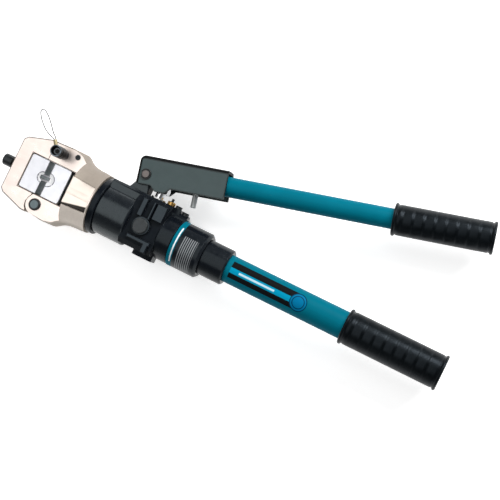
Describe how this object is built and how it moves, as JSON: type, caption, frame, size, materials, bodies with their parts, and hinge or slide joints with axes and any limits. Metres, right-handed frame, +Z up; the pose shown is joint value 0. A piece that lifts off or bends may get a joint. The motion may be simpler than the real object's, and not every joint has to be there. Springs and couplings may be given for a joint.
{
  "type": "hydraulic crimping tool",
  "caption": "Hand-operated hydraulic crimping tool with a swivelling flip-top head, two hexagonal dies, a lock pin on a wire loop, and two long rubber-gripped handles.",
  "frame": {"origin": "centre of the tool's bounding box in X and Y, at its lowest point in Z, measured without the wire loop", "axes": "+X along the ram from the head towards the handle grips, +Y from the fixed handle towards the moving handle, +Z up through the flat sides of the head"},
  "size_m": [0.6054, 0.2368, 0.0906],
  "materials": {
    "head_steel": "satin nickel plate, warm tint",
    "die_steel": "fine ground, bright",
    "black_paint": "gloss black enamel",
    "bracket_paint": "semi-gloss dark grey enamel",
    "teal_paint": "gloss teal enamel",
    "black_steel": "blackened steel",
    "plain_steel": "plain machined steel",
    "chrome": "bright chrome",
    "brass": "turned brass",
    "grip_rubber": "moulded black rubber",
    "seal_rubber": "black seal rubber",
    "wire": "thin stranded steel wire"
  },
  "bodies": {
    "base": {"pump_body": "black_paint", "swivel_collar": "black_paint", "swivel_snap_ring": "plain_steel", "ram_return_rod": "plain_steel", "ram_return_spring": "plain_steel", "side_plugs": "black_steel", "suction_valve_plug": "black_steel", "suction_valve_ball": "plain_steel", "suction_valve_spring": "plain_steel", "relief_valve": "brass", "relief_valve_screw": "black_steel", "oil_filler_cap": "black_steel", "valve_stem": "plain_steel", "plunger_gland": "plain_steel", "plunger_seal": "seal_rubber", "pivot_pin": "black_steel", "pivot_pin_clips": "black_steel", "pivot_washers": "plain_steel", "teal_band": "teal_paint", "reservoir_housing": "black_paint", "tube_nut": "black_paint", "fixed_handle_tube": "teal_paint", "oil_bladder": "seal_rubber", "fixed_handle_grip": "grip_rubber"},
    "head": {"yoke": "head_steel", "hinge_pin": "black_steel", "hinge_pin_clip": "black_steel", "lock_pin_bush": "black_steel", "bush_stop_screw": "black_steel", "ram_wiper_ring": "seal_rubber", "head_seal_ring": "seal_rubber"},
    "ram": {"ram": "head_steel", "ram_die_seat": "black_steel", "ram_die_pin": "plain_steel", "inner_die": "die_steel", "piston_seal": "seal_rubber"},
    "latch": {"latch": "head_steel", "outer_die": "die_steel", "die_button_bush": "black_steel"},
    "die_button": {"die_button": "black_steel"},
    "lock_pin": {"lock_pin": "black_steel", "lock_pin_knob": "black_steel", "lanyard_ferrule": "brass", "lanyard_loop": "wire"},
    "moving_handle": {"handle_channel": "bracket_paint", "drive_pin": "plain_steel", "tube_adapter": "black_steel", "release_striker": "plain_steel", "moving_handle_tube": "teal_paint", "moving_handle_grip": "grip_rubber"},
    "plunger": {"plunger": "chrome"},
    "release_button": {"release_button": "black_steel"}
  },
  "joints": [
    {"name": "handle_pivot", "type": "hinge", "parent": "base", "child": "moving_handle", "pos_m": [-0.1212, -0.01015, 0.03913], "axis": [0, 0, 1], "range_deg": [-7, 45]},
    {"name": "plunger_slide", "type": "slide", "parent": "base", "child": "plunger", "axis": [0, 1, 0], "range_m": [-0.0032, 0.019]},
    {"name": "head_swivel", "type": "hinge", "parent": "base", "child": "head", "pos_m": [-0.1626, -0.06945, 0.03913], "axis": [1, 0, 0], "range_deg": [-90, 90]},
    {"name": "ram_slide", "type": "slide", "parent": "head", "child": "ram", "axis": [-1, 0, 0], "range_m": [-0.002, 0.0076]},
    {"name": "latch_hinge", "type": "hinge", "parent": "head", "child": "latch", "pos_m": [-0.2323, -0.10395, 0.03913], "axis": [0, 0, 1], "range_deg": [0, 60]},
    {"name": "die_button_slide", "type": "slide", "parent": "latch", "child": "die_button", "axis": [1, 0, 0], "range_m": [0, 0.004], "stiffness_N_per_m": 900, "springref_m": -0.004},
    {"name": "lock_pin_slide", "type": "slide", "parent": "head", "child": "lock_pin", "axis": [0, 0, 1], "range_m": [-0.009, 0]},
    {"name": "release_button_slide", "type": "slide", "parent": "base", "child": "release_button", "axis": [0, -1, 0], "range_m": [0, 0.0025], "stiffness_N_per_m": 1200, "springref_m": -0.003}
  ],
  "couplings": [
    {"joint": "plunger_slide", "follows": "handle_pivot", "m_per_rad": 0.0236}
  ]
}
